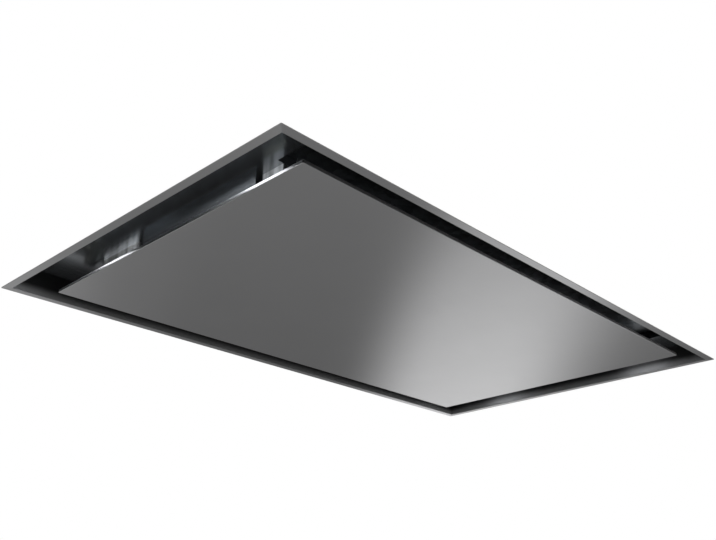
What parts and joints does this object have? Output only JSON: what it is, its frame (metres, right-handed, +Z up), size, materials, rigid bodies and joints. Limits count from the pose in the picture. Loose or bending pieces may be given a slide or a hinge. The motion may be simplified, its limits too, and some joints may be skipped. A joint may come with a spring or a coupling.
{
  "type": "ceiling range hood",
  "caption": "Flat rectangular ceiling hood with perimeter intake, a hinged steel panel, mesh filters, a box-housed radial blower and a side duct spigot.",
  "frame": {"origin": "centre of the trim's underside, the lowest plane of the object", "axes": "+X along the 900 mm side, towards the duct spigot; +Y across it, towards the panel's hinges; +Z up through the ceiling"},
  "size_m": [0.9, 0.5, 0.299],
  "materials": {
    "trim_steel": "fine brushed stainless steel",
    "brushed_steel": "brushed stainless steel, satin",
    "polished_steel": "bright rolled stainless steel",
    "galvanised_steel": "galvanised sheet steel",
    "zinc_steel": "zinc-plated steel",
    "magnet": "nickel-plated magnet in a dark holder",
    "filter_aluminium": "plain aluminium",
    "filter_mesh": "expanded aluminium mesh",
    "grey_plastic": "moulded plastic, matte",
    "black_plastic": "moulded plastic, matte",
    "white_plastic": "moulded plastic, matte",
    "wheel_plastic": "glass-filled moulded plastic",
    "frosted_lens": "frosted polycarbonate",
    "motor_aluminium": "die-cast aluminium",
    "bush_rubber": "moulded rubber",
    "board": "printed circuit board"
  },
  "bodies": {
    "housing": {"trim_frame": "trim_steel", "recess_pan": "polished_steel", "lamp_body_1": "grey_plastic", "lamp_body_2": "grey_plastic", "lamp_body_3": "grey_plastic", "lamp_body_4": "grey_plastic", "lamp_lens_1": "frosted_lens", "lamp_lens_2": "frosted_lens", "lamp_lens_3": "frosted_lens", "lamp_lens_4": "frosted_lens", "hinge_carrier_left": "polished_steel", "hinge_carrier_right": "polished_steel", "catch_carrier_left": "polished_steel", "catch_carrier_right": "polished_steel", "hinge_pins": "zinc_steel", "catch_magnets": "magnet", "filter_frame": "galvanised_steel", "lower_housing": "galvanised_steel", "blower_box": "galvanised_steel", "volute": "black_plastic", "inlet_ring": "black_plastic", "motor": "motor_aluminium", "motor_plate": "galvanised_steel", "motor_bushes": "bush_rubber", "duct_spigot": "galvanised_steel", "flap_pin": "zinc_steel", "control_box": "grey_plastic", "control_lid": "grey_plastic", "control_board": "board", "terminal_block": "white_plastic", "run_capacitor": "white_plastic", "cable_gland": "black_plastic", "lamp_driver": "white_plastic", "hanger_1": "galvanised_steel", "hanger_2": "galvanised_steel", "hanger_3": "galvanised_steel", "hanger_4": "galvanised_steel", "hanger_rivets": "zinc_steel", "box_screws": "zinc_steel", "spigot_screws": "zinc_steel", "housing_screws": "zinc_steel", "motor_conduit": "black_plastic", "driver_conduit": "black_plastic"},
    "panel": {"panel_skin": "brushed_steel", "panel_liner": "galvanised_steel", "panel_ribs": "galvanised_steel", "hinge_leaf_left": "zinc_steel", "hinge_leaf_right": "zinc_steel", "strike_plates": "zinc_steel", "panel_screws": "zinc_steel"},
    "filter_left": {"cassette_left": "filter_aluminium", "mesh_pack_left": "filter_mesh", "grip_left": "black_plastic"},
    "filter_right": {"cassette_right": "filter_aluminium", "mesh_pack_right": "filter_mesh", "grip_right": "black_plastic"},
    "fan_wheel": {"impeller": "wheel_plastic", "motor_shaft": "zinc_steel"},
    "far_flap": {"flap_far": "grey_plastic"},
    "near_flap": {"flap_near": "grey_plastic"}
  },
  "joints": [
    {"name": "panel_swing", "type": "hinge", "parent": "housing", "child": "panel", "pos_m": [0, 0.205, 0.014], "axis": [1, 0, 0], "range_deg": [0, 88]},
    {"name": "filter_left_push", "type": "slide", "parent": "housing", "child": "filter_left", "axis": [0, 1, 0], "range_m": [0, 0.006], "stiffness_N_per_m": 1500, "springref_m": -0.004},
    {"name": "filter_right_push", "type": "slide", "parent": "housing", "child": "filter_right", "axis": [0, 1, 0], "range_m": [0, 0.006], "stiffness_N_per_m": 1500, "springref_m": -0.004},
    {"name": "fan_spin", "type": "hinge", "parent": "housing", "child": "fan_wheel", "pos_m": [-0.03, 0.04, 0.18], "axis": [0, 0, 1], "continuous": true},
    {"name": "far_flap_swing", "type": "hinge", "parent": "housing", "child": "far_flap", "pos_m": [0.1985, -0.05, 0.2], "axis": [0, 0, -1], "range_deg": [0, 78], "stiffness_Nm_per_rad": 0.01, "springref_deg": -17.19},
    {"name": "near_flap_swing", "type": "hinge", "parent": "housing", "child": "near_flap", "pos_m": [0.1985, -0.05, 0.2], "axis": [0, 0, 1], "range_deg": [0, 78], "stiffness_Nm_per_rad": 0.01, "springref_deg": -17.19}
  ]
}
